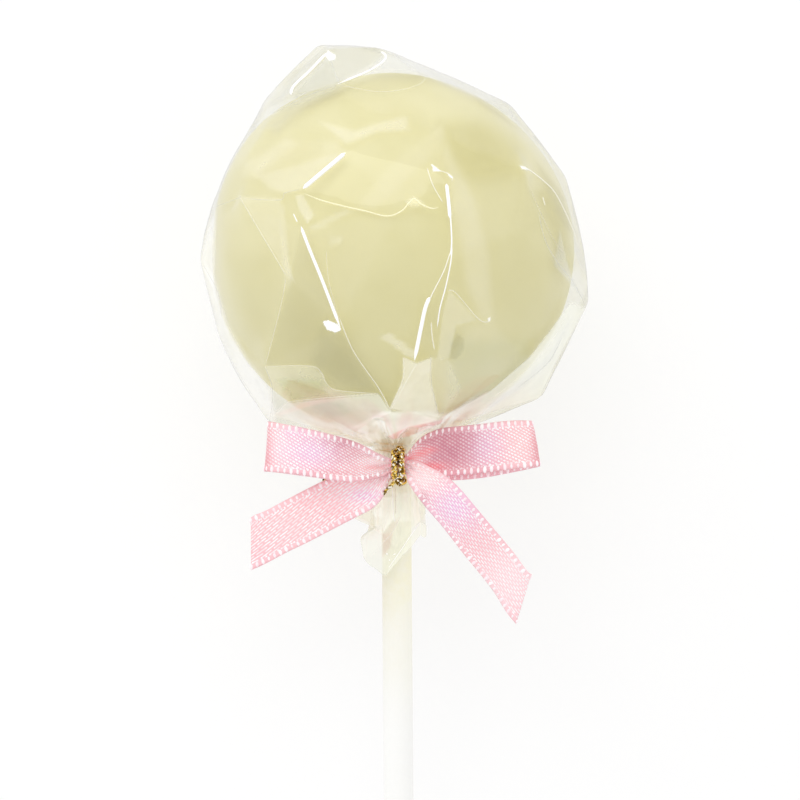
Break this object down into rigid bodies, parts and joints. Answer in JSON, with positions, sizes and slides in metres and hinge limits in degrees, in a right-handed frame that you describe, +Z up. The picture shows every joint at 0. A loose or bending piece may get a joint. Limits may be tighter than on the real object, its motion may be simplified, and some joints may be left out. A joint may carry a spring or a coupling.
{
  "type": "cake pop",
  "caption": "Coated ball of cake on a paper stick, wrapped in a clear bag that is gathered under the ball and closed with a satin ribbon bow and gold wire.",
  "frame": {"origin": "on the floor, at the middle of the flat spot that the ball rests on, straight under the ball's centre", "axes": "the pop lies on its back: +Y runs from the stick's end towards the ball's top, +Z is up and faces the side the bow is on, +X is to the right seen from above with the ball away from the viewer"},
  "size_m": [0.0525, 0.1717, 0.0503],
  "materials": {
    "clear_film": "clear crumpled film, gloss",
    "cake_coating": "smooth ivory white chocolate, satin",
    "white_paper": "tightly rolled paper, matt",
    "pink_satin": "twill-faced satin ribbon with ribbed edges",
    "gold_wire": "bright twisted metallic thread over wire"
  },
  "bodies": {
    "root": {"bag": "clear_film", "stick": "white_paper", "ribbon_bow": "pink_satin", "gold_tie": "gold_wire"}
  },
  "joints": []
}
